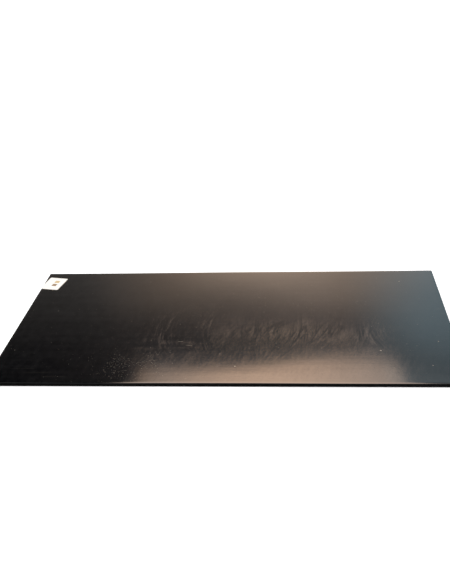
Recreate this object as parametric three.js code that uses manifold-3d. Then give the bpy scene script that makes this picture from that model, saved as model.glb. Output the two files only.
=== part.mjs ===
// A kick plate for the foot of a door: a thick sheet of black plastic that is held on by strips of thin
// double-sided foam tape, each strip still under its release liner, and a paper price label on its face.
//
// It lies face up. Millimetres. X runs along the plate's width, +Y points to the edge that is the upper
// one on the door, and +Z points out of the face. The origin is the centre of the underside.

import * as THREE from 'three';
import { mergeVertices } from 'three/addons/utils/BufferGeometryUtils.js';
import Module from 'manifold-3d';

// The sheet. Its edges are square, and eased by hand where they meet the face.
const PLATE_WIDTH = 762;
const PLATE_HEIGHT = 406.4;
const PLATE_GAUGE = 6.375;
const ARRIS_RADIUS = 0.75;
const ARRIS_STEPS = 6;

// The tape and its liner.
const TAPE_WIDTH = 19;
const TAPE_THICKNESS = 0.375;
const TAPE_MARGIN = 12;
const LINER_THICKNESS = 0.125;
const LINER_TAB = 7;
const LINER_TAB_RADIUS = 4;
const STRIP_GAP = 10;
const UPRIGHT_STRIPS = ['left', 'inner_left', 'center', 'inner_right', 'right'];

// The price label. Its middle is placed from the plate's left and upper edges.
const LABEL_WIDTH = 38;
const LABEL_HEIGHT = 51;
const LABEL_THICKNESS = 0.125;
const LABEL_RADIUS = 3;
const LABEL_FROM_LEFT = 19.9;
const LABEL_FROM_TOP = 46.8;
const LABEL_TILT = -10.4 * Math.PI / 180;

const CORNER_STEPS = 6;

// Heights above the surface that the liners lie on.
const TAPE_BOTTOM = LINER_THICKNESS;
const PLATE_BOTTOM = TAPE_BOTTOM + TAPE_THICKNESS;
const PLATE_TOP = PLATE_BOTTOM + PLATE_GAUGE;

const QUARTER_TURN = Math.PI / 2;

const wasm = await Module();
wasm.setup();

const plateMaterial = new THREE.MeshStandardMaterial({ color: 0x141416, roughness: 0.28, metalness: 0 });
const labelMaterial = new THREE.MeshStandardMaterial({ color: 0xf2efe8, roughness: 0.7, metalness: 0 });
const tapeMaterial = new THREE.MeshStandardMaterial({ color: 0x4a4c4f, roughness: 0.9, metalness: 0 });
const linerMaterial = new THREE.MeshStandardMaterial({ color: 0xd8cfb8, roughness: 0.45, metalness: 0 });

function toSolid(geometry) {
  const bare = geometry.clone();
  bare.deleteAttribute('normal');
  bare.deleteAttribute('uv');
  const merged = mergeVertices(bare, 1e-4);
  return new wasm.Manifold(new wasm.Mesh({
    numProp: 3,
    vertProperties: Float32Array.from(merged.attributes.position.array),
    triVerts: Uint32Array.from(merged.index.array),
  }));
}

function toGeometry(solid) {
  const mesh = solid.getMesh();
  const geometry = new THREE.BufferGeometry();
  geometry.setAttribute('position', new THREE.BufferAttribute(mesh.vertProperties, mesh.numProp));
  geometry.setIndex(new THREE.BufferAttribute(mesh.triVerts, 1));
  geometry.computeVertexNormals();
  return geometry;
}

// The sheet's section across one direction: a square underside, upright sides, and an eased arris at the
// face.
function sheetSection(span) {
  const side = span / 2;
  const faceEdge = side - ARRIS_RADIUS;
  const sideTop = PLATE_GAUGE - ARRIS_RADIUS;
  const section = new THREE.Shape();
  section.moveTo(-side, 0);
  section.lineTo(side, 0);
  section.lineTo(side, sideTop);
  section.absarc(faceEdge, sideTop, ARRIS_RADIUS, 0, QUARTER_TURN, false);
  section.lineTo(-faceEdge, PLATE_GAUGE);
  section.absarc(-faceEdge, sideTop, ARRIS_RADIUS, QUARTER_TURN, Math.PI, false);
  section.closePath();
  return section;
}

// The section standing upright in XZ, drawn out along Y.
function drawnOut(section, length) {
  const geometry = new THREE.ExtrudeGeometry(section, {
    depth: length,
    bevelEnabled: false,
    curveSegments: ARRIS_STEPS,
  });
  geometry.translate(0, 0, -length / 2);
  geometry.rotateX(QUARTER_TURN);
  return geometry;
}

// The eased arrises of the four edges meet in mitred corners where the two drawn-out sections cross.
function plateGeometry() {
  const sideEdges = drawnOut(sheetSection(PLATE_WIDTH), PLATE_HEIGHT);
  const longEdges = drawnOut(sheetSection(PLATE_HEIGHT), PLATE_WIDTH);
  longEdges.rotateZ(QUARTER_TURN);
  return toGeometry(toSolid(sideEdges).intersect(toSolid(longEdges)));
}

// A flat sheet with a radius at each corner: [lower left, lower right, upper right, upper left].
function sheetGeometry(width, height, thickness, [lowerLeft, lowerRight, upperRight, upperLeft]) {
  const x = width / 2;
  const y = height / 2;
  const outline = new THREE.Shape();
  outline.moveTo(-x + lowerLeft, -y);
  outline.lineTo(x - lowerRight, -y);
  roundCorner(outline, x - lowerRight, -y + lowerRight, lowerRight, -QUARTER_TURN);
  outline.lineTo(x, y - upperRight);
  roundCorner(outline, x - upperRight, y - upperRight, upperRight, 0);
  outline.lineTo(-x + upperLeft, y);
  roundCorner(outline, -x + upperLeft, y - upperLeft, upperLeft, QUARTER_TURN);
  outline.lineTo(-x, -y + lowerLeft);
  roundCorner(outline, -x + lowerLeft, -y + lowerLeft, lowerLeft, Math.PI);
  return new THREE.ExtrudeGeometry(outline, {
    depth: thickness,
    bevelEnabled: false,
    curveSegments: CORNER_STEPS,
  });
}

function roundCorner(outline, x, y, radius, startAngle) {
  if (radius > 0) {
    outline.absarc(x, y, radius, startAngle, startAngle + QUARTER_TURN, false);
  }
}

function plate() {
  const mesh = new THREE.Mesh(plateGeometry(), plateMaterial);
  mesh.name = 'plate';
  mesh.position.z = PLATE_BOTTOM;
  return mesh;
}

// The tilted label runs past the left edge at one corner, and is cut off there, flush with the plate's side.
function priceLabel() {
  const label = sheetGeometry(LABEL_WIDTH, LABEL_HEIGHT, LABEL_THICKNESS, Array(4).fill(LABEL_RADIUS));
  label.rotateZ(LABEL_TILT);
  label.translate(LABEL_FROM_LEFT - PLATE_WIDTH / 2, PLATE_HEIGHT / 2 - LABEL_FROM_TOP, 0);
  const footprint = new THREE.BoxGeometry(PLATE_WIDTH, PLATE_HEIGHT, 4 * LABEL_THICKNESS);
  const mesh = new THREE.Mesh(toGeometry(toSolid(label).intersect(toSolid(footprint))), labelMaterial);
  mesh.name = 'price_label';
  mesh.position.z = PLATE_TOP;
  return mesh;
}

function tape(name, length) {
  const geometry = sheetGeometry(length, TAPE_WIDTH, TAPE_THICKNESS, [0, 0, 0, 0]);
  const mesh = new THREE.Mesh(geometry, tapeMaterial);
  mesh.name = `tape_${name}`;
  mesh.position.z = TAPE_BOTTOM;
  return mesh;
}

// The liner is as wide as its tape, and runs past one end of it as a tab with rounded corners.
function liner(name, length) {
  const radii = [0, LINER_TAB_RADIUS, LINER_TAB_RADIUS, 0];
  const geometry = sheetGeometry(length + LINER_TAB, TAPE_WIDTH, LINER_THICKNESS, radii);
  const mesh = new THREE.Mesh(geometry, linerMaterial);
  mesh.name = `liner_${name}`;
  mesh.position.x = LINER_TAB / 2;
  return mesh;
}

// One strip of tape with its liner, centred on the origin and running along X.
function strip(name, length) {
  const group = new THREE.Group();
  group.add(tape(name, length), liner(name, length));
  return group;
}

// The two long strips follow the plate's long edges, at the same margin from every edge.
function edgeStrips() {
  const y = PLATE_HEIGHT / 2 - TAPE_MARGIN - TAPE_WIDTH / 2;
  const length = PLATE_WIDTH - 2 * TAPE_MARGIN;
  const bottom = strip('bottom_edge', length);
  bottom.position.y = -y;
  const top = strip('top_edge', length);
  top.position.y = y;
  return [bottom, top];
}

// The upright strips stand between the long ones, at equal distances across the plate.
function uprightStrips() {
  const outermost = PLATE_WIDTH / 2 - TAPE_MARGIN - TAPE_WIDTH / 2;
  const spacing = 2 * outermost / (UPRIGHT_STRIPS.length - 1);
  const length = PLATE_HEIGHT - 2 * (TAPE_MARGIN + TAPE_WIDTH + STRIP_GAP);
  return UPRIGHT_STRIPS.map((name, index) => {
    const upright = strip(name, length);
    upright.position.x = index * spacing - outermost;
    upright.rotation.z = QUARTER_TURN;
    return upright;
  });
}

const kickPlate = new THREE.Group();
kickPlate.add(plate(), priceLabel(), ...edgeStrips(), ...uprightStrips());

export default kickPlate;
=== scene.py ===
"""A black plastic kick plate, lying face up, with a paper price label and taped for sticking to a door."""

import math
from collections import namedtuple

import bpy
from mathutils import Matrix, Vector, noise


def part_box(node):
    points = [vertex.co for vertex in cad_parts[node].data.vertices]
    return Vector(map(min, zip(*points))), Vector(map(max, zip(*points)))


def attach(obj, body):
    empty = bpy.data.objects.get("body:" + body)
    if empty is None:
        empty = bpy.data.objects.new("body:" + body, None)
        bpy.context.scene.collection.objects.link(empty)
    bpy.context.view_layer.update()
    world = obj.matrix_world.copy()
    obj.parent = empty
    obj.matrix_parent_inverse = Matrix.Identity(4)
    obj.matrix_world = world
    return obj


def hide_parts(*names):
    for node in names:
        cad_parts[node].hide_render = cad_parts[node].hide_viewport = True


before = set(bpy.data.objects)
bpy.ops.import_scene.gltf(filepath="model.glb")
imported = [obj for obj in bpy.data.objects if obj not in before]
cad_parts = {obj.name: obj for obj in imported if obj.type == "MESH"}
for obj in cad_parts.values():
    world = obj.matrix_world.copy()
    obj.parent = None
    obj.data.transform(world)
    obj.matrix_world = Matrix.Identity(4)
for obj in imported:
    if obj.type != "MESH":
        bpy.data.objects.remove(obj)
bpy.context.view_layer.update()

MM = 0.001

# The camera, in metres and degrees.
CAMERA_PLACE = (0.1167, -1.2699, 0.6971)
CAMERA_HEADING = 5.537
CAMERA_DOWN = 26.157
CAMERA_ROLL = -2.877
CAMERA_LENS_MM = 50.96
SENSOR_MM = 36.0

# The sheet. Its sides are upright. The arris of its face is eased, and its other edges only just.
ARRIS_RADIUS = 0.75 * MM
ARRIS_STEPS = 6
UNDERSIDE_EASING = 0.2 * MM
UNDERSIDE_STEPS = 3
CORNER_EASING = 0.6 * MM
CORNER_STEPS = 5
LEAST_RADIUS = 0.02 * MM
PLATE_CELL = 8.0 * MM

# Thick rolled sheet is never quite flat: a slow wave crosses the face both ways, with a finer ripple on it.
WAVE_HEIGHT = 0.42 * MM
WAVE_ALONG = 450.0 * MM
WAVE_ACROSS = 400.0 * MM
WAVE_PHASE = 5.03
RIPPLE_HEIGHT = 0.016 * MM
RIPPLE_SIZE = 55.0 * MM

# The price label, on the face.
LABEL_WIDTH = 38.0 * MM
LABEL_HEIGHT = 51.0 * MM
LABEL_THICKNESS = 0.11 * MM
LABEL_EASING = 0.03 * MM
LABEL_RADIUS = 3.0 * MM
LABEL_RINGS = 8
LABEL_CELL = 0.45 * MM
LABEL_TILT = math.radians(-10.4)
LABEL_FROM_LEFT = 19.9 * MM
LABEL_FROM_TOP = 46.8 * MM

# The tape and its liner. The side of the foam bulges, as (inset, share of the thickness).
FOAM_BULGE = 0.08 * MM
FOAM_SIDE = [(FOAM_BULGE, 0.0), (FOAM_BULGE / 3, 0.25), (0.0, 0.5), (FOAM_BULGE / 3, 0.75), (FOAM_BULGE, 1.0)]
STRIP_CELL = 6.0 * MM
STRIP_RADIUS = 0.4 * MM
TAB_RADIUS = 4.0 * MM
TAB_LIFT = 0.28 * MM


# ---------------------------------------------------------------- meshes


def ring_points(half_x, half_y, radii, cells):
    """Points round a rectangle with rounded corners, counted the same way for every size of rectangle."""
    corners = [(1, -1), (1, 1), (-1, 1), (-1, -1)]
    points = []
    for side, (sign_x, sign_y) in enumerate(corners):
        before = corners[side - 1]
        radius = radii[side]
        radius_before = radii[side - 1]
        start = Vector((before[0] * half_x, before[1] * half_y))
        end = Vector((sign_x * half_x, sign_y * half_y))
        along = (end - start).normalized()
        start = start + along * radius_before
        end = end - along * radius
        count = cells[side % 2]
        points += [start.lerp(end, step / count) for step in range(count + 1)]
        inward = Vector((-along.y, along.x))
        centre = end + inward * radius
        for step in range(1, CORNER_STEPS):
            turn = math.pi / 2 * step / CORNER_STEPS
            points.append(centre - inward * radius * math.cos(turn) + along * radius * math.sin(turn))
    return points


class Slab:
    """A closed sheet with a shaped rim. Its profile runs from the underside to the top as (inset, height).
    Every level has a rim of the same count of points, so that each can be joined to the next."""

    def __init__(self, width, depth, profile, radii, cell):
        innermost = max(inset for inset, _ in profile)
        self.width = width
        self.depth = depth
        self.radii = radii
        self.cells = (max(1, round(width / cell)), max(1, round(depth / cell)))
        self.margin = innermost + max(max(radii) - innermost, cell / 2)
        self.vertices = []
        self.faces = []
        rims = [self.grid(profile[0][1], upward=False)]
        rims += [self.ring(inset, height) for inset, height in profile]
        rims.append(self.grid(profile[-1][1], upward=True))
        for lower, upper in zip(rims, rims[1:]):
            self.join(lower, upper)

    def ring(self, inset, height):
        """The points round the sheet at one level. Returns their numbers in order."""
        first = len(self.vertices)
        rounded = [max(radius - inset, LEAST_RADIUS) for radius in self.radii]
        points = ring_points(self.width / 2 - inset, self.depth / 2 - inset, rounded, self.cells)
        self.vertices.extend((p.x, p.y, height) for p in points)
        return list(range(first, len(self.vertices)))

    def grid_points(self, height):
        """The points of a flat grid, row by row. Returns the number of the first."""
        first = len(self.vertices)
        columns, rows = self.cells
        half_x = self.width / 2 - self.margin
        half_y = self.depth / 2 - self.margin
        for row in range(rows + 1):
            for column in range(columns + 1):
                x = half_x * (2 * column / columns - 1)
                y = half_y * (2 * row / rows - 1)
                self.vertices.append((x, y, height))
        return first

    def grid(self, height, upward):
        """A grid of cells. Returns its rim, in the same count as a ring's, where a corner repeats."""
        first = self.grid_points(height)
        columns, rows = self.cells

        def at(column, row):
            return first + row * (columns + 1) + column

        for row in range(rows):
            for column in range(columns):
                face = [at(column, row), at(column + 1, row), at(column + 1, row + 1), at(column, row + 1)]
                self.faces.append(face if upward else face[::-1])
        sides = [
            [at(column, 0) for column in range(columns + 1)],
            [at(columns, row) for row in range(rows + 1)],
            [at(columns - column, rows) for column in range(columns + 1)],
            [at(0, rows - row) for row in range(rows + 1)],
        ]
        rim = []
        for side in sides:
            rim += side + [side[-1]] * (CORNER_STEPS - 1)
        return rim

    def join(self, lower, upper):
        """Faces between two rims. Where a corner repeats, a face has three corners, or there is none."""
        for this in range(len(lower)):
            after = (this + 1) % len(lower)
            face = []
            for corner in (lower[this], lower[after], upper[after], upper[this]):
                if corner not in face:
                    face.append(corner)
            if len(face) > 2:
                self.faces.append(face)

    def piece(self, name, place):
        """The sheet as an object, each of its points where place(point) puts it."""
        mesh = bpy.data.meshes.new(name)
        mesh.from_pydata([place(Vector(v)) for v in self.vertices], [], self.faces)
        mesh.validate()
        mesh.shade_smooth()
        made = bpy.data.objects.new(name, mesh)
        bpy.context.scene.collection.objects.link(made)
        return made


def stand_for(piece, node, material):
    """The piece takes the place of a CAD node, and has a finish of its own."""
    piece.data.materials.append(material)
    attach(piece, "root")
    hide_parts(node)
    return piece


# ---------------------------------------------------------------- the plate

PLATE_LOW, PLATE_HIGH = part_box("plate")
LABEL_CENTRE = Vector((PLATE_LOW.x + LABEL_FROM_LEFT, PLATE_HIGH.y - LABEL_FROM_TOP, 0.0))


def drop(x, y):
    """How far the face lies below its highest level."""
    wave = math.cos(2 * math.pi * x / WAVE_ALONG) * math.sin(2 * math.pi * y / WAVE_ACROSS + WAVE_PHASE)
    ripple = noise.noise(Vector((x, y, 0)) / RIPPLE_SIZE)
    return WAVE_HEIGHT * (0.5 - 0.5 * wave) + RIPPLE_HEIGHT * (1 - ripple)


def arc(centre, radius, steps):
    """Points of a quarter circle, from its outermost point to its highest, as (inset, height)."""
    turns = [math.pi / 2 * step / steps for step in range(steps + 1)]
    return [(centre[0] - radius * math.cos(turn), centre[1] + radius * math.sin(turn)) for turn in turns]


def plate_profile():
    gauge = PLATE_HIGH.z - PLATE_LOW.z
    foot = arc((UNDERSIDE_EASING, -UNDERSIDE_EASING), UNDERSIDE_EASING, UNDERSIDE_STEPS)
    underside = [(inset, -height) for inset, height in reversed(foot)]
    return underside + arc((ARRIS_RADIUS, gauge - ARRIS_RADIUS), ARRIS_RADIUS, ARRIS_STEPS)


def place_on_plate(point):
    gauge = PLATE_HIGH.z - PLATE_LOW.z
    share = point.z / gauge
    return Vector((point.x, point.y, PLATE_LOW.z + point.z - share * drop(point.x, point.y)))


def eased_sheet(material):
    size = PLATE_HIGH - PLATE_LOW
    sheet = Slab(size.x, size.y, plate_profile(), [CORNER_EASING] * 4, PLATE_CELL)
    return stand_for(sheet.piece("eased_sheet", place_on_plate), "plate", material)


# ---------------------------------------------------------------- the price label


def label_profile():
    """Eased edges, and rings close enough together to follow the arris where the label runs over it."""
    insets = [LABEL_EASING + LABEL_RADIUS * step / LABEL_RINGS for step in range(LABEL_RINGS + 1)]
    underside = [(inset, 0.0) for inset in reversed(insets)]
    top = [(inset, LABEL_THICKNESS) for inset in insets]
    return underside + [(0.0, LABEL_EASING), (0.0, LABEL_THICKNESS - LABEL_EASING)] + top


def over_the_edge(x, y, height):
    """A point of a sheet laid on the face. Past the left edge of the face it follows the arris, and then the
    plate's side."""
    face_edge = PLATE_LOW.x + ARRIS_RADIUS
    past = face_edge - x
    face = PLATE_HIGH.z - drop(max(x, face_edge), y)
    if past <= 0:
        return Vector((x, y, face + height))
    turn = min(past / ARRIS_RADIUS, math.pi / 2)
    outward = Vector((-math.sin(turn), 0, math.cos(turn)))
    centre = Vector((face_edge, y, face - ARRIS_RADIUS))
    down = past - turn * ARRIS_RADIUS
    return centre + outward * (ARRIS_RADIUS + height) - Vector((0, 0, down))


def place_label(point):
    flat = Matrix.Rotation(LABEL_TILT, 3, "Z") @ Vector((point.x, point.y, 0))
    return over_the_edge(LABEL_CENTRE.x + flat.x, LABEL_CENTRE.y + flat.y, point.z)


def price_sticker(material):
    sheet = Slab(LABEL_WIDTH, LABEL_HEIGHT, label_profile(), [LABEL_RADIUS] * 4, LABEL_CELL)
    return stand_for(sheet.piece("price_sticker", place_label), "price_label", material)


# ---------------------------------------------------------------- tape and liners


def along_strip(node):
    """The strip's middle, length, width and thickness, and the turn that lays X along it."""
    low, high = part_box(node)
    middle = (low + high) / 2
    size = high - low
    upright = size.y > size.x
    turn = Matrix.Rotation(math.pi / 2 if upright else 0, 3, "Z")
    length, width = (size.y, size.x) if upright else (size.x, size.y)
    return Vector((middle.x, middle.y, low.z)), length, width, size.z, turn


def foam_strip(name, material):
    middle, length, width, thickness, turn = along_strip(f"tape_{name}")
    profile = [(inset, share * thickness) for inset, share in FOAM_SIDE]
    foam = Slab(length, width, profile, [STRIP_RADIUS] * 4, STRIP_CELL)
    piece = foam.piece(f"foam_{name}", lambda point: middle + turn @ point)
    return stand_for(piece, f"tape_{name}", material)


def release_liner(name, material):
    middle, length, width, thickness, turn = along_strip(f"liner_{name}")
    tape_length = along_strip(f"tape_{name}")[1]
    tab = length - tape_length
    profile = [(0.0, 0.0), (0.0, thickness)]
    radii = [TAB_RADIUS, TAB_RADIUS, STRIP_RADIUS, STRIP_RADIUS]

    def place(point):
        past = max(0.0, point.x - (length / 2 - tab)) / tab
        point.z += TAB_LIFT * past ** 2
        return middle + turn @ point

    backing = Slab(length, width, profile, radii, STRIP_CELL)
    return stand_for(backing.piece(f"backing_{name}", place), f"liner_{name}", material)


# ---------------------------------------------------------------- shader nodes


# The sockets of a colour mix node, whose names repeat for each type of value.
MIX_FIRST = 6
MIX_SECOND = 7
MIX_RESULT = 2

BLACK = (0, 0, 0, 1)
WHITE = (1, 1, 1, 1)
NOISE_MIDDLE = 0.5
NOISE_GAIN = 4.0


class Graph:
    """Short calls for the shader nodes that the materials and the world share."""

    def __init__(self, tree):
        self.tree = tree
        tree.nodes.clear()

    def node(self, kind, inputs=None, **settings):
        made = self.tree.nodes.new(kind)
        for name, value in settings.items():
            setattr(made, name, value)
        for socket, value in (inputs or {}).items():
            self.feed(made.inputs[socket], value)
        return made

    def feed(self, socket, value):
        if isinstance(value, bpy.types.NodeSocket):
            self.tree.links.new(value, socket)
        else:
            socket.default_value = value

    def math(self, operation, *values):
        return self.node("ShaderNodeMath", dict(enumerate(values)), operation=operation).outputs[0]

    def add(self, *values):
        total = values[0]
        for value in values[1:]:
            total = self.math("ADD", total, value)
        return total

    def times(self, *values):
        total = values[0]
        for value in values[1:]:
            total = self.math("MULTIPLY", total, value)
        return total

    def weighed(self, base, *parts):
        """The base and each (value, weight) added up."""
        return self.add(base, *(self.times(value, weight) for value, weight in parts))

    def rest(self, value):
        """What the value leaves of 1."""
        return self.math("SUBTRACT", 1.0, value)

    def held(self, value, low, high):
        """The value, kept from low to high."""
        return self.math("MAXIMUM", self.math("MINIMUM", value, high), low)

    def squares(self, x, y):
        return self.add(self.times(x, x), self.times(y, y))

    def step(self, value, low, high):
        """0 below low and 1 above high, with a smooth step between them. If low > high, 1 below high and 0
        above low."""
        made = self.node("ShaderNodeMapRange", {"Value": value}, interpolation_type="SMOOTHSTEP")
        if low < high:
            ends = (low, high, 0.0, 1.0)
        else:
            ends = (high, low, 1.0, 0.0)
        for socket, end in zip(("From Min", "From Max", "To Min", "To Max"), ends):
            made.inputs[socket].default_value = end
        return made.outputs["Result"]

    def mix(self, share, first, second, blend="MIX"):
        made = self.node("ShaderNodeMix", data_type="RGBA", blend_type=blend)
        self.feed(made.inputs["Factor"], share)
        self.feed(made.inputs[MIX_FIRST], first)
        self.feed(made.inputs[MIX_SECOND], second)
        return made.outputs[MIX_RESULT]

    def between(self, share, first, second):
        """A number from first, where share is 0, to second, where it is 1."""
        return self.add(self.times(share, second), self.times(self.rest(share), first))

    def noise(self, place, size, detail=2.0, roughness=0.5, distortion=0.0):
        """Noise from 0 to 1 whose features are about size metres across."""
        made = self.node("ShaderNodeTexNoise", {"Vector": place, "Scale": 1 / size, "Detail": detail,
                                                "Roughness": roughness, "Distortion": distortion})
        return made.outputs["Fac"]

    def drawn_noise(self, place, size, detail=2.0, turn=0.0):
        """Noise from 0 to 1 whose features have a size along each axis, turned by an angle in degrees."""
        return self.noise(self.laid(place, (0.0, 0.0), math.radians(turn), size), 1.0, detail=detail)

    def parts(self, vector):
        return list(self.node("ShaderNodeSeparateXYZ", {"Vector": vector}).outputs)

    def vector(self, *values):
        return self.node("ShaderNodeCombineXYZ", dict(enumerate(values))).outputs[0]

    def laid(self, place, centre, turn, size=(1.0, 1.0, 1.0)):
        """The place as seen from a centre, turned and stretched: a shape that is one across there is size
        metres across here."""
        made = self.node("ShaderNodeMapping", {"Vector": place}, vector_type="TEXTURE")
        made.inputs["Location"].default_value = (*centre, 0.0)
        made.inputs["Rotation"].default_value = (0.0, 0.0, turn)
        made.inputs["Scale"].default_value = size
        return made.outputs["Vector"]

    def box(self, place, half_width, half_height, soft):
        """1 inside a rectangle about the origin and 0 outside it, with a soft rim."""
        x, y, _ = self.parts(place)
        across = self.step(self.math("ABSOLUTE", x), half_width + soft, half_width - soft)
        along = self.step(self.math("ABSOLUTE", y), half_height + soft, half_height - soft)
        return self.times(across, along)

    def signed(self, value):
        """Noise from 0 to 1 as a number about 0, whose usual reach is from -1 to 1."""
        return self.times(self.math("SUBTRACT", value, NOISE_MIDDLE), NOISE_GAIN)

    def specks(self, place, cell, share, smallest, largest, seed):
        """Round specks, at most one to a cell. The share of cells that have one may be a socket."""
        shift = self.node("ShaderNodeVectorMath", {0: place, 1: (seed, seed, seed)}, operation="ADD")
        made = self.node("ShaderNodeTexVoronoi", {"Vector": shift.outputs[0], "Scale": 1 / cell},
                         voronoi_dimensions="2D")
        chance, size, _ = self.parts(made.outputs["Color"])
        radius = self.add(smallest / cell, self.times(size, (largest - smallest) / cell))
        inside = self.math("SUBTRACT", radius, made.outputs["Distance"])
        edge = self.node("ShaderNodeMapRange", {"Value": inside, "From Min": 0.0,
                                                "From Max": smallest / cell}).outputs["Result"]
        return self.times(edge, self.math("LESS_THAN", chance, share))

    def bump(self, height, depth, normal=None):
        made = self.node("ShaderNodeBump", {"Height": height, "Distance": depth, "Strength": 1.0})
        if normal:
            self.feed(made.inputs["Normal"], normal)
        return made.outputs["Normal"]


def material(name, build, **constants):
    """A material whose shader has these constants, and whose other inputs build(graph, shader) makes."""
    made = bpy.data.materials.new(name)
    made.use_nodes = True
    graph = Graph(made.node_tree)
    shader = graph.node("ShaderNodeBsdfPrincipled")
    for socket, value in constants.items():
        shader.inputs[socket.replace("_", " ")].default_value = value
    output = graph.node("ShaderNodeOutputMaterial")
    graph.feed(output.inputs["Surface"], shader.outputs["BSDF"])
    build(graph, shader)
    return made


def object_place(graph):
    return graph.node("ShaderNodeTexCoord").outputs["Object"]


# ---------------------------------------------------------------- the black plastic

# Where a hand or a cloth has rubbed the face: bands of streaks that follow part of a circle. Some streaks are
# scratched, and some are wiped clean of the haze round them.
SWIRLS = [
    # centre x and y, radius and half the band in mm, the middle and half the sweep in degrees, and strength
    (75, -33, 192, 26, 180, 40, 1.0),
    (150, -35, 196, 24, 180, 32, 0.9),
    (-60, -5, 188, 14, -8, 46, 0.6),
    (-10, 30, 200, 22, -18, 34, 0.4),
    (180, -100, 126, 20, 155, 50, 0.5),
    (20, -30, 215, 24, -8, 32, 0.4),
    (360, -40, 110, 26, 175, 60, 0.6),
    (-250, 20, 120, 30, 10, 70, 0.4),
]
STREAK_WIDTH = 3.0 * MM
STREAK_LENGTH = 70.0 * MM
SWIRL_CORE = 0.3

# Single marks on the face.
MARKS = [
    # middle x and y, half the length and half the width in mm, the turn in degrees, and how pale
    (-80, -73, 5.5, 0.9, 4, 0.26),
    (-64, -86, 6.5, 0.8, -3, 0.22),
    (313, 155, 1.1, 1.1, 0, 0.9),
    (351, -75, 1.2, 1.1, 0, 0.6),
    (254, -104, 1.3, 1.2, 0, 1.2),
    (331, -150, 1.1, 1.0, 0, 0.6),
    (18, -153, 1.2, 1.0, 0, 1.0),
    (-361, -101, 1.1, 1.0, 0, 0.5),
    (367, 40, 9.0, 0.8, 35, 0.12),
    (374, 24, 8.0, 0.8, 28, 0.10),
    (-300, -172, 30.0, 0.8, 0, 0.035),
    (-270, -184, 22.0, 0.9, 1, 0.04),
    (-330, -160, 26.0, 0.7, -1, 0.03),
]
MARK_RIM = 1.2
MARK_CORE = 0.4

# Straight scratches, as the turn in degrees, and the width and length of a scratch.
UPRIGHT_LINES = (87, 4.4 * MM, 100 * MM)
LEANING_LINES = (68, 4.0 * MM, 85 * MM)
CROSS_LINES = (5, 13 * MM, 80 * MM)

# Parts of the face that have marks of their own: the middle, half the width and height and the softness of
# the rim in mm, and the turn in radians.
Patch = namedtuple("Patch", "x y half_width half_height soft turn")
HATCHED_PATCH = Patch(-95, -80, 62, 24, 30, 0.05)
HANDLED_PATCH = Patch(122, -40, 150, 38, 46, -0.04)
DUSTY_PATCH = Patch(-152, -146, 44, 28, 34, 0.1)

# The sizes of what is seen on the plastic. Three sizes are along X, Y and Z.
CLOUD_SIZE = 120 * MM
SMUDGE_SIZE = 46 * MM
SPECKLE_SIZE = 2.4 * MM
STROKE_GROUP_SIZE = 55 * MM
DUST_GROUP_SIZE = 22 * MM
GRAIN_SIZE = (90 * MM, 1.6 * MM, 90 * MM)
ROLLED_SIZE = (240 * MM, 13 * MM, 240 * MM)
MOTTLE_SIZE = (9 * MM, 17 * MM, 17 * MM)
SAWN_SIZE = (0.5 * MM, 0.5 * MM, 8 * MM)

# Where in their noise these begin, and where they are whole.
SMUDGE_RANGE = (0.42, 0.72)
STROKE_RANGE = (0.0, 0.4)
STROKE_GROUP_RANGE = (0.36, 0.52)
DUST_GROUP_RANGE = (0.38, 0.62)

# The face's finish runs round the arris, and is whole and at an end at these depths. Below, the side is sawn.
FINISH_WHOLE = 0.7 * MM
FINISH_END = 1.3 * MM

# How strongly scratches count among the streaks.
RUBBED_WEIGHT = 1.2
LINES_WEIGHT = 0.26
HATCHED_WEIGHT = 0.8
SPECKLE_WEIGHT = 0.45

# Dust and lint: the size of the cells that may hold one speck, and the share of cells that do.
DUST_CELL = 2.2 * MM
DUST_SHARE = 0.004
DUSTY_SHARE = 0.55
DUST_LEAST = 0.25 * MM
DUST_MOST = 0.6 * MM
DUST_SEED = 0.3
LINT_CELL = 26 * MM
LINT_SHARE = 0.06
LINT_LEAST = 0.4 * MM
LINT_MOST = 0.8 * MM
LINT_SEED = 1.7
DUST_PALENESS = 0.55
LINT_PALENESS = 0.45
PALEST = 1.2

# How much each adds to the tone of the black, from deep to worn.
TONE_BASE = 0.10
CLOUD_TONE = 0.3
MOTTLE_TONE = 0.34
ROLLED_TONE = 0.24
SMUDGE_TONE = 0.5
DEEP_BLACK = (0.0012, 0.0014, 0.0020, 1)
WORN_BLACK = (0.0085, 0.0083, 0.0088, 1)
SMUDGED_BLACK = (0.0036, 0.0035, 0.0038, 1)
DUST_COLOUR = (0.23, 0.205, 0.16, 1)

# How much each adds to the roughness of the face, and the roughness of the sawn sides.
GLOSS_BASE = 0.046
SMUDGE_HAZE = 0.014
GRAIN_HAZE = 0.012
STREAK_HAZE = 0.08
FILM_HAZE = 0.066
GLOSSIEST = 0.02
HAZIEST = 0.2
DUST_ROUGHNESS = 0.3
SIDE_ROUGHNESS = 0.38
SAWN_ROUGHNESS = 0.16

# The depth of the relief.
LINES_DEPTH = 0.0032 * MM
SPECKLE_DEPTH = 0.003 * MM
SAWN_DEPTH = 0.02 * MM

Skin = namedtuple("Skin", "cloud smudge speckle grain rolled mottle sawn")


def plastic_skin(graph, place):
    """What rolling, sawing and handling leave all over the sheet."""
    smudge = graph.noise(place, SMUDGE_SIZE, detail=5, roughness=0.62, distortion=0.8)
    return Skin(
        cloud=graph.noise(place, CLOUD_SIZE, detail=4, roughness=0.55),
        smudge=graph.step(smudge, *SMUDGE_RANGE),
        speckle=graph.signed(graph.noise(place, SPECKLE_SIZE, detail=3, roughness=0.6)),
        grain=graph.drawn_noise(place, GRAIN_SIZE, detail=3),
        rolled=graph.signed(graph.drawn_noise(place, ROLLED_SIZE, detail=3)),
        mottle=graph.signed(graph.drawn_noise(place, MOTTLE_SIZE, detail=2)),
        sawn=graph.drawn_noise(place, SAWN_SIZE, detail=3),
    )


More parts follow.
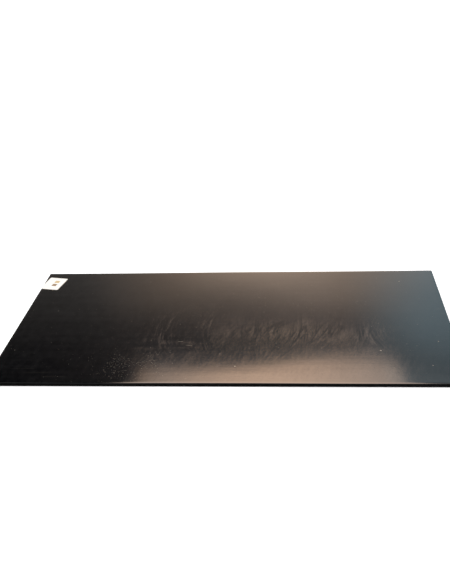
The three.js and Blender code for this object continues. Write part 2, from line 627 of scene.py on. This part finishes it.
def swirl(graph, place, centre_x, centre_y, radius, half_band, middle, sweep, strength):
    """Streaks along part of a circle: above 0 where scratched, below 0 where wiped clean."""
    turned = graph.laid(place, (centre_x * MM, centre_y * MM), math.radians(middle))
    x, y, _ = graph.parts(turned)
    turn = graph.math("ARCTAN2", y, x)
    across = graph.math("SUBTRACT", graph.math("SQRT", graph.squares(x, y)), radius * MM)
    along = graph.times(turn, radius * MM)
    unrolled = graph.vector(graph.times(across, 1 / STREAK_WIDTH), graph.times(along, 1 / STREAK_LENGTH),
                            radius)
    streaks = graph.signed(graph.noise(unrolled, 1.0, detail=3))
    reach = math.radians(sweep)
    band = graph.step(graph.math("ABSOLUTE", across), half_band * MM, SWIRL_CORE * half_band * MM)
    window = graph.step(graph.math("ABSOLUTE", turn), reach, SWIRL_CORE * reach)
    return graph.times(streaks, band, window, strength)


def hairlines(graph, place, turn, width, length):
    """Straight scratches that run one way: above 0 where scratched, below 0 where wiped clean."""
    return graph.signed(graph.drawn_noise(place, (length, width, length), detail=2, turn=turn))


def mark(graph, place, x, y, half_length, half_width, turn, paleness):
    laid = graph.laid(place, (x * MM, y * MM), math.radians(turn), (half_length * MM, half_width * MM, 1.0))
    u, v, _ = graph.parts(laid)
    return graph.times(graph.step(graph.squares(u, v), MARK_RIM, MARK_CORE), paleness)


def within(graph, place, patch):
    """1 inside the patch and 0 outside it."""
    laid = graph.laid(place, (patch.x * MM, patch.y * MM), patch.turn)
    return graph.box(laid, patch.half_width * MM, patch.half_height * MM, patch.soft * MM)


def face_streaks(graph, place, upright, leaning, speckle):
    """All scratches and wiped streaks of the face together."""
    rubbed = 0.0
    for each in SWIRLS:
        rubbed = graph.add(rubbed, swirl(graph, place, *each))
    hatched = graph.times(within(graph, place, HATCHED_PATCH), hairlines(graph, place, *CROSS_LINES))
    return graph.weighed(0.0, (rubbed, RUBBED_WEIGHT), (graph.add(upright, leaning), LINES_WEIGHT),
                         (hatched, HATCHED_WEIGHT), (speckle, SPECKLE_WEIGHT))


def handling_film(graph, place, upright, leaning):
    """A haze where the sheet was handled, with groups of strokes wiped out of it."""
    strokes = graph.math("MAXIMUM", graph.step(upright, *STROKE_RANGE), graph.step(leaning, *STROKE_RANGE))
    grouped = graph.step(graph.noise(place, STROKE_GROUP_SIZE, detail=2), *STROKE_GROUP_RANGE)
    return graph.times(within(graph, place, HANDLED_PATCH), graph.rest(graph.times(strokes, grouped)))


def pale_specks(graph, place):
    """Dust, which is thickest in one corner, lint, and the single marks."""
    patchy = graph.step(graph.noise(place, DUST_GROUP_SIZE, detail=3), *DUST_GROUP_RANGE)
    share = graph.weighed(DUST_SHARE, (graph.times(patchy, within(graph, place, DUSTY_PATCH)), DUSTY_SHARE))
    dust = graph.specks(place, DUST_CELL, share, DUST_LEAST, DUST_MOST, DUST_SEED)
    lint = graph.specks(place, LINT_CELL, LINT_SHARE, LINT_LEAST, LINT_MOST, LINT_SEED)
    spots = 0.0
    for each in MARKS:
        spots = graph.add(spots, mark(graph, place, *each))
    specks = graph.weighed(0.0, (dust, DUST_PALENESS), (lint, LINT_PALENESS))
    return graph.math("MINIMUM", graph.add(specks, spots), PALEST)


def plastic_colour(graph, skin, pale):
    tone = graph.weighed(0.0, (skin.cloud, CLOUD_TONE), (skin.mottle, MOTTLE_TONE),
                         (skin.rolled, ROLLED_TONE))
    clean = graph.mix(graph.held(graph.add(tone, TONE_BASE), 0.0, 1.0), DEEP_BLACK, WORN_BLACK)
    hazed = graph.mix(graph.times(skin.smudge, SMUDGE_TONE), clean, SMUDGED_BLACK)
    return graph.mix(pale, hazed, DUST_COLOUR)


def face_roughness(graph, place, skin, pale):
    upright = hairlines(graph, place, *UPRIGHT_LINES)
    leaning = hairlines(graph, place, *LEANING_LINES)
    streaks = face_streaks(graph, place, upright, leaning, skin.speckle)
    film = handling_film(graph, place, upright, leaning)
    haze = graph.weighed(GLOSS_BASE, (skin.smudge, SMUDGE_HAZE), (skin.grain, GRAIN_HAZE),
                         (streaks, STREAK_HAZE), (film, FILM_HAZE))
    return graph.weighed(graph.held(haze, GLOSSIEST, HAZIEST), (pale, DUST_ROUGHNESS))


def plastic_relief(graph, skin, face):
    drawn = graph.add(skin.grain, skin.rolled, skin.mottle)
    lines = graph.bump(graph.times(drawn, face), LINES_DEPTH)
    speckled = graph.bump(graph.times(skin.speckle, face), SPECKLE_DEPTH, lines)
    return graph.bump(graph.times(skin.sawn, graph.rest(face)), SAWN_DEPTH, speckled)


def black_plastic(graph, shader):
    place = object_place(graph)
    _, _, height = graph.parts(place)
    face = graph.step(height, PLATE_HIGH.z - FINISH_END, PLATE_HIGH.z - FINISH_WHOLE)
    skin = plastic_skin(graph, place)
    pale = pale_specks(graph, place)
    gloss = face_roughness(graph, place, skin, pale)
    matt = graph.weighed(SIDE_ROUGHNESS, (skin.sawn, SAWN_ROUGHNESS))
    graph.feed(shader.inputs["Base Color"], plastic_colour(graph, skin, graph.times(pale, face)))
    graph.feed(shader.inputs["Roughness"], graph.between(face, matt, gloss))
    graph.feed(shader.inputs["Normal"], plastic_relief(graph, skin, face))


# ---------------------------------------------------------------- the label's paper

# Print on the label: plain blocks and rules, with no lettering.
BROWN_INK = (0.19, 0.095, 0.004, 1)
TAN_INK = (0.56, 0.39, 0.17, 1)
BLOCKS = [
    # middle x and y and half width and height in mm on the upright label, and the ink
    (3.2, -8.3, 4.5, 1.45, BROWN_INK),
    (3.0, -5.2, 4.3, 1.45, BROWN_INK),
    (3.4, -2.1, 4.3, 1.40, BROWN_INK),
    (3.0, 5.6, 4.6, 1.45, TAN_INK),
    (2.8, 8.7, 4.9, 1.50, TAN_INK),
    (3.2, 11.8, 4.3, 1.40, TAN_INK),
]
RULES = [
    # middle x and y and half the length in mm
    (-8.5, 16.0, 5.0),
    (-9.5, 11.5, 4.0),
    (-8.5, 2.0, 5.0),
    (-9.0, -3.0, 4.5),
    (-8.0, -12.0, 5.5),
    (9.0, -17.5, 5.0),
]
RULE_HALF_HEIGHT = 0.35 * MM
RULE_SOFT = 0.1 * MM
RULE_STRENGTH = 0.30
BLOCK_SOFT = 0.12 * MM

# The ink covers at least this share of the paper, and all of it where it isn't worn.
INK_LEAST = 0.85
INK_WORN = 0.15
WORN_SIZE = 0.35 * MM
WORN_RANGE = (0.3, 0.5)

PAPER_FIBRE_SIZE = 0.7 * MM
PAPER_CLOUD_SIZE = 9 * MM
PAPER_RIM = 0.9 * MM
PAPER_RIM_SOFT = 0.7 * MM
PAPER_ROUGHNESS = 0.5
PAPER_FIBRE_ROUGHNESS = 0.2
PAPER_DEPTH = 0.012 * MM
PAPER_CLOUD_DEPTH = 3.0
YELLOWING = 0.25
GREY_PAPER = (0.76, 0.755, 0.735, 1)
WHITE_PAPER = (0.88, 0.875, 0.855, 1)
YELLOWED_PAPER = (0.76, 0.73, 0.67, 1)
PAPER_EDGE = (0.60, 0.53, 0.44, 1)
FAINT_INK = (0.55, 0.50, 0.42, 1)


def bare_paper(graph, upright, fibre, cloud):
    """White paper, yellowed in places and darker at its rim."""
    paper = graph.mix(fibre, GREY_PAPER, WHITE_PAPER)
    toned = graph.mix(graph.times(cloud, YELLOWING), paper, YELLOWED_PAPER)
    rim = graph.box(upright, LABEL_WIDTH / 2 - PAPER_RIM, LABEL_HEIGHT / 2 - PAPER_RIM, PAPER_RIM_SOFT)
    return graph.mix(rim, PAPER_EDGE, toned)


def with_print(graph, place, upright, paper):
    """The paper under faint rules and worn blocks of ink."""
    faint = 0.0
    for x, y, half_length in RULES:
        laid = graph.laid(upright, (x * MM, y * MM), 0.0)
        faint = graph.add(faint, graph.box(laid, half_length * MM, RULE_HALF_HEIGHT, RULE_SOFT))
    printed = graph.mix(graph.times(faint, RULE_STRENGTH), paper, FAINT_INK)
    unworn = graph.step(graph.noise(place, WORN_SIZE, detail=2), *WORN_RANGE)
    cover = graph.weighed(INK_LEAST, (unworn, INK_WORN))
    for x, y, half_width, half_height, ink in BLOCKS:
        laid = graph.laid(upright, (x * MM, y * MM), 0.0)
        block = graph.box(laid, half_width * MM, half_height * MM, BLOCK_SOFT)
        printed = graph.mix(graph.times(block, cover), printed, ink)
    return printed


def label_paper(graph, shader):
    place = object_place(graph)
    upright = graph.laid(place, LABEL_CENTRE.xy, LABEL_TILT)
    fibre = graph.noise(place, PAPER_FIBRE_SIZE, detail=4, roughness=0.6)
    cloud = graph.noise(place, PAPER_CLOUD_SIZE, detail=3)
    printed = with_print(graph, place, upright, bare_paper(graph, upright, fibre, cloud))
    relief = graph.weighed(fibre, (cloud, PAPER_CLOUD_DEPTH))
    graph.feed(shader.inputs["Base Color"], printed)
    graph.feed(shader.inputs["Roughness"], graph.weighed(PAPER_ROUGHNESS, (fibre, PAPER_FIBRE_ROUGHNESS)))
    graph.feed(shader.inputs["Normal"], graph.bump(relief, PAPER_DEPTH))


# ---------------------------------------------------------------- foam and liner

FOAM_CELL_SIZE = 0.45 * MM
FOAM_CLOUD_SIZE = 14 * MM
FOAM_CELL_TONE = 0.7
FOAM_CLOUD_TONE = 0.5
FOAM_ROUGHNESS = 0.82
FOAM_CELL_ROUGHNESS = 0.15
FOAM_DEPTH = 0.05 * MM
PALE_FOAM = (0.075, 0.077, 0.082, 1)
DARK_FOAM = (0.030, 0.031, 0.034, 1)

LINER_FIBRE_SIZE = 1.2 * MM
LINER_CLOUD_SIZE = 60 * MM
LINER_WEAVE_SIZE = (14 * MM, 0.5 * MM, 14 * MM)
LINER_WEAVE_TURN = 45
LINER_FIBRE_TONE = 0.5
LINER_CLOUD_TONE = 0.3
LINER_WEAVE_TONE = 0.25
LINER_ROUGHNESS = 0.30
LINER_FIBRE_ROUGHNESS = 0.22
LINER_DEPTH = 0.012 * MM
FLECK_CELL = 3.0 * MM
FLECK_SHARE = 0.25
FLECK_LEAST = 0.10 * MM
FLECK_MOST = 0.22 * MM
FLECK_SEED = 0.9
FLECK_STRENGTH = 0.6
DARK_KRAFT = (0.52, 0.43, 0.28, 1)
PALE_KRAFT = (0.68, 0.59, 0.43, 1)
FLECK_BROWN = (0.30, 0.22, 0.12, 1)


def tape_foam(graph, shader):
    place = object_place(graph)
    voronoi = graph.node("ShaderNodeTexVoronoi", {"Vector": place, "Scale": 1 / FOAM_CELL_SIZE})
    cells = voronoi.outputs["Distance"]
    cloud = graph.noise(place, FOAM_CLOUD_SIZE, detail=3)
    tone = graph.weighed(0.0, (cells, FOAM_CELL_TONE), (cloud, FOAM_CLOUD_TONE))
    graph.feed(shader.inputs["Base Color"], graph.mix(tone, PALE_FOAM, DARK_FOAM))
    graph.feed(shader.inputs["Roughness"], graph.weighed(FOAM_ROUGHNESS, (cells, FOAM_CELL_ROUGHNESS)))
    graph.feed(shader.inputs["Normal"], graph.bump(cells, FOAM_DEPTH))


def liner_paper(graph, shader):
    place = object_place(graph)
    fibre = graph.noise(place, LINER_FIBRE_SIZE, detail=4, roughness=0.6)
    cloud = graph.noise(place, LINER_CLOUD_SIZE, detail=3)
    weave = graph.drawn_noise(place, LINER_WEAVE_SIZE, turn=LINER_WEAVE_TURN)
    flecks = graph.specks(place, FLECK_CELL, FLECK_SHARE, FLECK_LEAST, FLECK_MOST, FLECK_SEED)
    tone = graph.weighed(0.0, (fibre, LINER_FIBRE_TONE), (cloud, LINER_CLOUD_TONE), (weave, LINER_WEAVE_TONE))
    paper = graph.mix(tone, DARK_KRAFT, PALE_KRAFT)
    flecked = graph.mix(graph.times(flecks, FLECK_STRENGTH), paper, FLECK_BROWN)
    graph.feed(shader.inputs["Base Color"], flecked)
    graph.feed(shader.inputs["Roughness"], graph.weighed(LINER_ROUGHNESS, (fibre, LINER_FIBRE_ROUGHNESS)))
    graph.feed(shader.inputs["Normal"], graph.bump(graph.add(fibre, weave), LINER_DEPTH))


# ---------------------------------------------------------------- the studio

# What the glossy face sees: soft-edged cards of light round the horizon. All angles are in degrees, and
# azimuth 0 is +Y. A card runs from its foot to its head, and its flare is how much wider it gets to each side
# for each degree above its foot.
Card = namedtuple("Card", "azimuth half_width side_feather foot head rim_feather colour flare")

# A bright window straight behind the plate. Its sill gives the sharp lower edge.
WINDOW_AZIMUTH = -2.5
WINDOW_HALF_WIDTH = 10.5
WINDOW_SILL = 31.5
WINDOW_HEAD = 58.0
WINDOW_FLARE = 0.45

# A cool wall to the right of it, in two tones that meet at the height of the sill.
WALL_AZIMUTH = 30.0
WALL_HALF_WIDTH = 23.0
WALL_FOOT = 16.5

COPPER = (1.5, 1.0, 0.65)
AMBER = (2.6, 1.5, 0.8)
DAYLIGHT = (2.8, 2.5, 2.4)
LAMPLIGHT = (2.6, 1.9, 1.4)
PLASTER = (0.75, 0.65, 0.6)
DULL_PLASTER = (0.65, 0.6, 0.55)
SKY_BLUE = (0.55, 0.85, 1.0)
SHADED_BLUE = (0.5, 0.6, 0.65)
CEILING = (1.0, 0.97, 0.92)
COOL_GREY = (0.85, 0.86, 0.88)
MID_GREY = (0.55, 0.55, 0.57)
DEEP_GREY = (0.15, 0.15, 0.155)

WINDOW_CARDS = [
    Card(WINDOW_AZIMUTH, WINDOW_HALF_WIDTH, 0.5, WINDOW_SILL, WINDOW_HEAD, 0.5, COPPER, WINDOW_FLARE),
    Card(WINDOW_AZIMUTH, 6.0, 6.0, WINDOW_SILL, WINDOW_HEAD, 0.5, AMBER, WINDOW_FLARE),
    Card(WINDOW_AZIMUTH, WINDOW_HALF_WIDTH, 2.0, WINDOW_SILL + 1.0, WINDOW_HEAD, 3.0, DAYLIGHT, WINDOW_FLARE),
]
LOW_CARDS = [
    Card(2.0, 4.0, 25.0, -1.0, WINDOW_SILL + 1.5, 0.5, PLASTER, 0.0),
    Card(WINDOW_AZIMUTH + 1.0, 7.5, 8.0, 6.0, 26.0, 4.0, LAMPLIGHT, 0.0),
    Card(-28.0, 16.0, 2.5, 19.0, 21.0, 10.0, DULL_PLASTER, 0.0),
]
WALL_CARDS = [
    Card(WALL_AZIMUTH, WALL_HALF_WIDTH, 4.0, WALL_FOOT, WINDOW_SILL, 4.0, SKY_BLUE, 0.0),
    Card(WALL_AZIMUTH, WALL_HALF_WIDTH, 0.5, WINDOW_SILL + 0.5, WINDOW_HEAD, 1.0, SHADED_BLUE, -WINDOW_FLARE),
]
# The rest of the room, which other views of the plate reflect.
ROOM_CARDS = [
    Card(0.0, 180.0, 1.0, 50.0, 94.0, 8.0, CEILING, 0.0),
    Card(-76.0, 34.0, 12.0, 24.0, 42.0, 7.0, COOL_GREY, 0.0),
    Card(-80.0, 42.0, 10.0, -1.0, 9.0, 4.0, DEEP_GREY, 0.0),
    Card(140.0, 30.0, 26.0, 16.0, 22.0, 10.0, MID_GREY, 0.0),
]


def card_shape(graph, azimuth, elevation, card):
    """How much of the card is seen in a direction, from 0 to 1."""
    turned = graph.math("WRAP", graph.math("SUBTRACT", azimuth, card.azimuth), 180.0, -180.0)
    widened = graph.times(graph.math("SUBTRACT", elevation, card.foot), card.flare)
    aside = graph.math("SUBTRACT", graph.math("ABSOLUTE", turned), widened)
    above = graph.math("ABSOLUTE", graph.math("SUBTRACT", elevation, (card.head + card.foot) / 2))
    half_height = (card.head - card.foot) / 2
    across = graph.step(aside, card.half_width + card.side_feather, card.half_width - card.side_feather)
    upward = graph.step(above, half_height + card.rim_feather, half_height - card.rim_feather)
    return graph.times(across, upward)


def studio_light():
    world = bpy.data.worlds.new("studio")
    bpy.context.scene.world = world
    world.use_nodes = True
    graph = Graph(world.node_tree)
    direction = graph.node("ShaderNodeTexCoord").outputs["Generated"]
    x, y, z = graph.parts(direction)
    azimuth = graph.math("DEGREES", graph.math("ARCTAN2", x, y))
    elevation = graph.math("DEGREES", graph.math("ARCSINE", z))
    light = BLACK
    for card in WINDOW_CARDS + LOW_CARDS + WALL_CARDS + ROOM_CARDS:
        shape = card_shape(graph, azimuth, elevation, card)
        light = graph.mix(1.0, light, graph.mix(shape, BLACK, (*card.colour, 1)), blend="ADD")
    ray = graph.node("ShaderNodeLightPath").outputs
    seen = graph.mix(ray["Is Glossy Ray"], WHITE, light)
    background = graph.node("ShaderNodeBackground", {"Color": seen})
    output = graph.node("ShaderNodeOutputWorld")
    graph.feed(output.inputs["Surface"], background.outputs[0])


FLOOR_RADIUS = 12.0
FLOOR_SIDES = 96
FLOOR_GLOW = 0.35
FLOOR_ROUGHNESS = 0.9
FLOOR_CLOUD_SIZE = 400 * MM
FLOOR_SHADE = (0.97, 0.97, 0.97, 1)
FLOOR_PALE = (0.98, 0.98, 0.98, 1)


def floor_paint(graph, shader):
    tone = graph.noise(object_place(graph), FLOOR_CLOUD_SIZE, detail=2)
    graph.feed(shader.inputs["Base Color"], graph.mix(tone, FLOOR_SHADE, FLOOR_PALE))


def pale_floor():
    rim = [(FLOOR_RADIUS * math.cos(turn), FLOOR_RADIUS * math.sin(turn), 0.0)
           for turn in (2 * math.pi * side / FLOOR_SIDES for side in range(FLOOR_SIDES))]
    mesh = bpy.data.meshes.new("floor")
    mesh.from_pydata(rim, [], [list(range(FLOOR_SIDES))])
    floor = bpy.data.objects.new("floor", mesh)
    bpy.context.scene.collection.objects.link(floor)
    floor.visible_glossy = False
    floor.data.materials.append(material("floor_paint", floor_paint, Roughness=FLOOR_ROUGHNESS,
                                         Emission_Color=WHITE, Emission_Strength=FLOOR_GLOW))


def camera():
    lens = bpy.data.cameras.new("camera")
    lens.sensor_fit = "AUTO"
    lens.sensor_width = SENSOR_MM
    lens.lens = CAMERA_LENS_MM
    lens.clip_end = 4 * FLOOR_RADIUS
    view = bpy.data.objects.new("camera", lens)
    bpy.context.scene.collection.objects.link(view)
    heading = Matrix.Rotation(math.radians(CAMERA_HEADING), 4, "Z")
    pitch = Matrix.Rotation(math.radians(90 - CAMERA_DOWN), 4, "X")
    roll = Matrix.Rotation(math.radians(CAMERA_ROLL), 4, "Z")
    view.matrix_world = Matrix.Translation(CAMERA_PLACE) @ heading @ pitch @ roll
    bpy.context.scene.camera = view


KEY_WIDTH = 1.6
KEY_DEPTH = 1.2
KEY_POWER = 12
KEY_PLACE = Vector((-0.4, 0.5, 1.9))


def key_light():
    data = bpy.data.lights.new("key", "AREA")
    data.shape = "RECTANGLE"
    data.size = KEY_WIDTH
    data.size_y = KEY_DEPTH
    data.energy = KEY_POWER
    light = bpy.data.objects.new("key", data)
    bpy.context.scene.collection.objects.link(light)
    light.location = KEY_PLACE
    light.rotation_euler = (-KEY_PLACE).to_track_quat("-Z", "Y").to_euler()
    light.visible_glossy = False
    light.visible_camera = False


camera()
studio_light()
key_light()
pale_floor()

PLASTIC = material("black_plastic", black_plastic)
PAPER = material("label_paper", label_paper)
FOAM = material("tape_foam", tape_foam)
LINER = material("liner_paper", liner_paper)

eased_sheet(PLASTIC)
price_sticker(PAPER)
for strip in sorted(name[len("tape_"):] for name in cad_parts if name.startswith("tape_")):
    foam_strip(strip, FOAM)
    release_liner(strip, LINER)

bpy.context.scene.view_settings.view_transform = "Standard"
